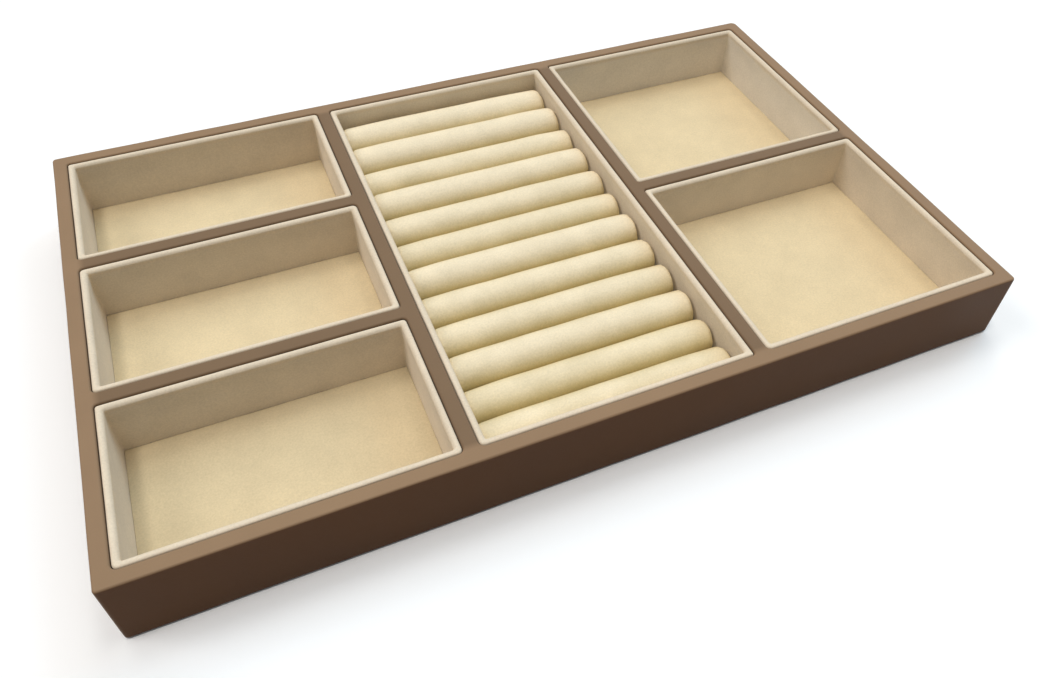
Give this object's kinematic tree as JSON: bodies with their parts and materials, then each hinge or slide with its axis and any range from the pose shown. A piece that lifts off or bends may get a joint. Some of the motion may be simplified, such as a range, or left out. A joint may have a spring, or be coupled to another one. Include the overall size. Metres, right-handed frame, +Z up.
{
  "type": "jewelry tray",
  "caption": "Shallow leather-covered tray with lift-out suede-lined cups and a bay of padded rolls that hold rings.",
  "frame": {"origin": "middle of the underside, on the surface that the tray stands on", "axes": "+X to the right along the front wall, +Y from the front wall to the back, +Z up out of the cups"},
  "size_m": [0.351, 0.218, 0.032],
  "materials": {
    "taupe_leather": "satin",
    "beige_suede": "matte",
    "fibreboard": "matte",
    "grey_card": "matte",
    "white_foam": "matte",
    "brown_felt": "matte"
  },
  "bodies": {
    "frame": {"back_wall_board": "fibreboard", "base_panel": "fibreboard", "front_wall_board": "fibreboard", "leather_cover": "taupe_leather", "left_cross_divider_1": "fibreboard", "left_cross_divider_2": "fibreboard", "left_long_divider": "fibreboard", "left_wall_board": "fibreboard", "right_cross_divider_1": "fibreboard", "right_long_divider": "fibreboard", "right_wall_board": "fibreboard", "underside_lining": "brown_felt"},
    "back_left_insert": {"back_left_card_tray": "grey_card", "back_left_floor_pad": "beige_suede", "back_left_suede_wrap": "beige_suede"},
    "back_right_insert": {"back_right_card_tray": "grey_card", "back_right_floor_pad": "beige_suede", "back_right_suede_wrap": "beige_suede"},
    "front_left_insert": {"front_left_card_tray": "grey_card", "front_left_floor_pad": "beige_suede", "front_left_suede_wrap": "beige_suede"},
    "front_right_insert": {"front_right_card_tray": "grey_card", "front_right_floor_pad": "beige_suede", "front_right_suede_wrap": "beige_suede"},
    "middle_left_insert": {"middle_left_card_tray": "grey_card", "middle_left_floor_pad": "beige_suede", "middle_left_suede_wrap": "beige_suede"},
    "ring_insert": {"ring_card_tray": "grey_card", "ring_roll_01_foam_core": "white_foam", "ring_roll_01_suede_sleeve": "beige_suede", "ring_roll_02_foam_core": "white_foam", "ring_roll_02_suede_sleeve": "beige_suede", "ring_roll_03_foam_core": "white_foam", "ring_roll_03_suede_sleeve": "beige_suede", "ring_roll_04_foam_core": "white_foam", "ring_roll_04_suede_sleeve": "beige_suede", "ring_roll_05_foam_core": "white_foam", "ring_roll_05_suede_sleeve": "beige_suede", "ring_roll_06_foam_core": "white_foam", "ring_roll_06_suede_sleeve": "beige_suede", "ring_roll_07_foam_core": "white_foam", "ring_roll_07_suede_sleeve": "beige_suede", "ring_roll_08_foam_core": "white_foam", "ring_roll_08_suede_sleeve": "beige_suede", "ring_roll_09_foam_core": "white_foam", "ring_roll_09_suede_sleeve": "beige_suede", "ring_roll_10_foam_core": "white_foam", "ring_roll_10_suede_sleeve": "beige_suede", "ring_roll_11_foam_core": "white_foam", "ring_roll_11_suede_sleeve": "beige_suede", "ring_roll_12_foam_core": "white_foam", "ring_roll_12_suede_sleeve": "beige_suede", "ring_roll_bed": "beige_suede", "ring_suede_wrap": "beige_suede"}
  },
  "joints": [
    {"name": "back_left_insert_lift", "type": "slide", "parent": "frame", "child": "back_left_insert", "axis": [0, 0, 1], "range_m": [0, 0.04]},
    {"name": "back_right_insert_lift", "type": "slide", "parent": "frame", "child": "back_right_insert", "axis": [0, 0, 1], "range_m": [0, 0.04]},
    {"name": "front_left_insert_lift", "type": "slide", "parent": "frame", "child": "front_left_insert", "axis": [0, 0, 1], "range_m": [0, 0.04]},
    {"name": "front_right_insert_lift", "type": "slide", "parent": "frame", "child": "front_right_insert", "axis": [0, 0, 1], "range_m": [0, 0.04]},
    {"name": "middle_left_insert_lift", "type": "slide", "parent": "frame", "child": "middle_left_insert", "axis": [0, 0, 1], "range_m": [0, 0.04]},
    {"name": "ring_insert_lift", "type": "slide", "parent": "frame", "child": "ring_insert", "axis": [0, 0, 1], "range_m": [0, 0.04]}
  ]
}
